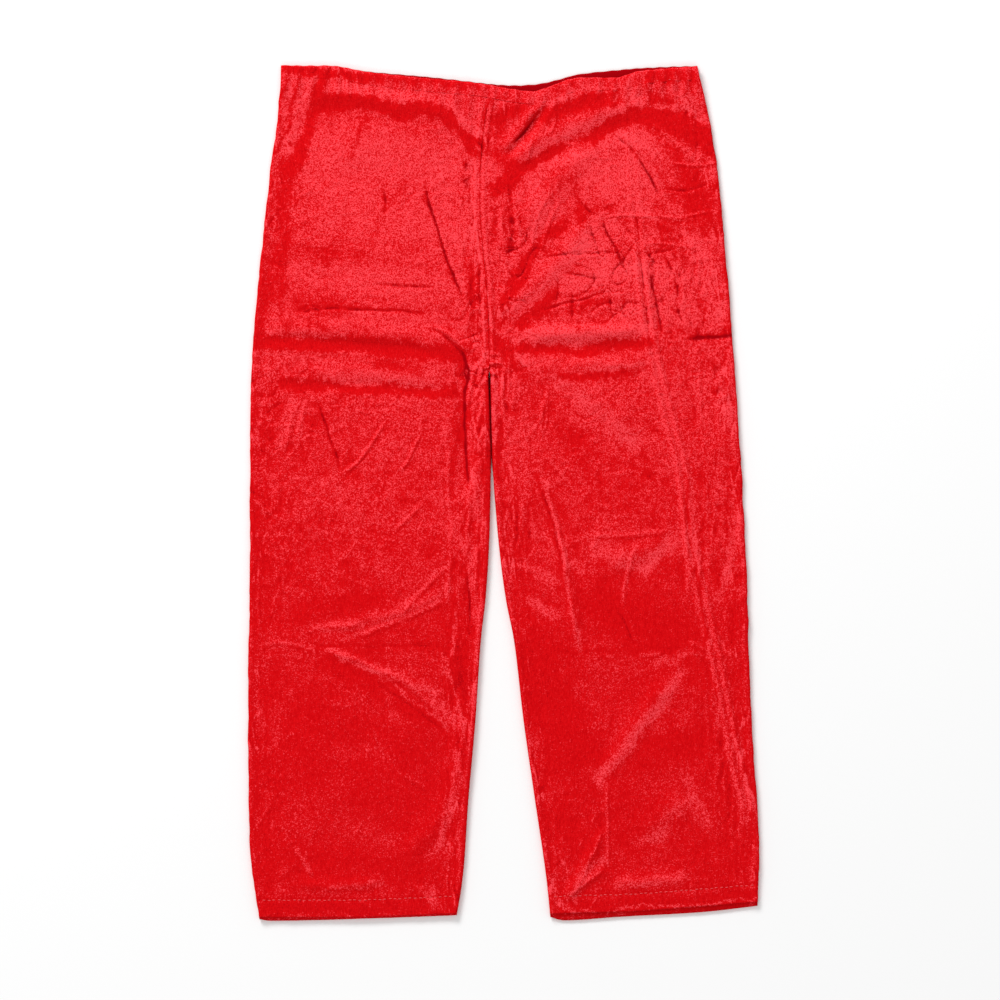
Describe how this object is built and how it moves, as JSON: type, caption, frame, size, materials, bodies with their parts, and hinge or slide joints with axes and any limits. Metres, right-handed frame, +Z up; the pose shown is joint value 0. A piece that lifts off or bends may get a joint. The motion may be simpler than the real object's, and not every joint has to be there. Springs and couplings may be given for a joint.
{
  "type": "santa suit trousers",
  "caption": "Wide red crushed-velvet costume trousers laid flat, with a gathered elastic waist casing, straight legs and turned-up stitched hems.",
  "frame": {"origin": "on the surface the trousers lie on, below the middle of their outline", "axes": "+Z up from the surface, +Y from the hems to the waist, +X to the right of a viewer who looks down at the front with the waist at the top"},
  "size_m": [0.599, 1.0016, 0.0104],
  "materials": {
    "red_velvet": "crushed velvet with a brushed, uneven nap and a soft pink sheen"
  },
  "bodies": {
    "root": {"front_left": "red_velvet", "front_right": "red_velvet", "back_left": "red_velvet", "back_right": "red_velvet", "waistband_front": "red_velvet", "waistband_back": "red_velvet"}
  },
  "joints": []
}
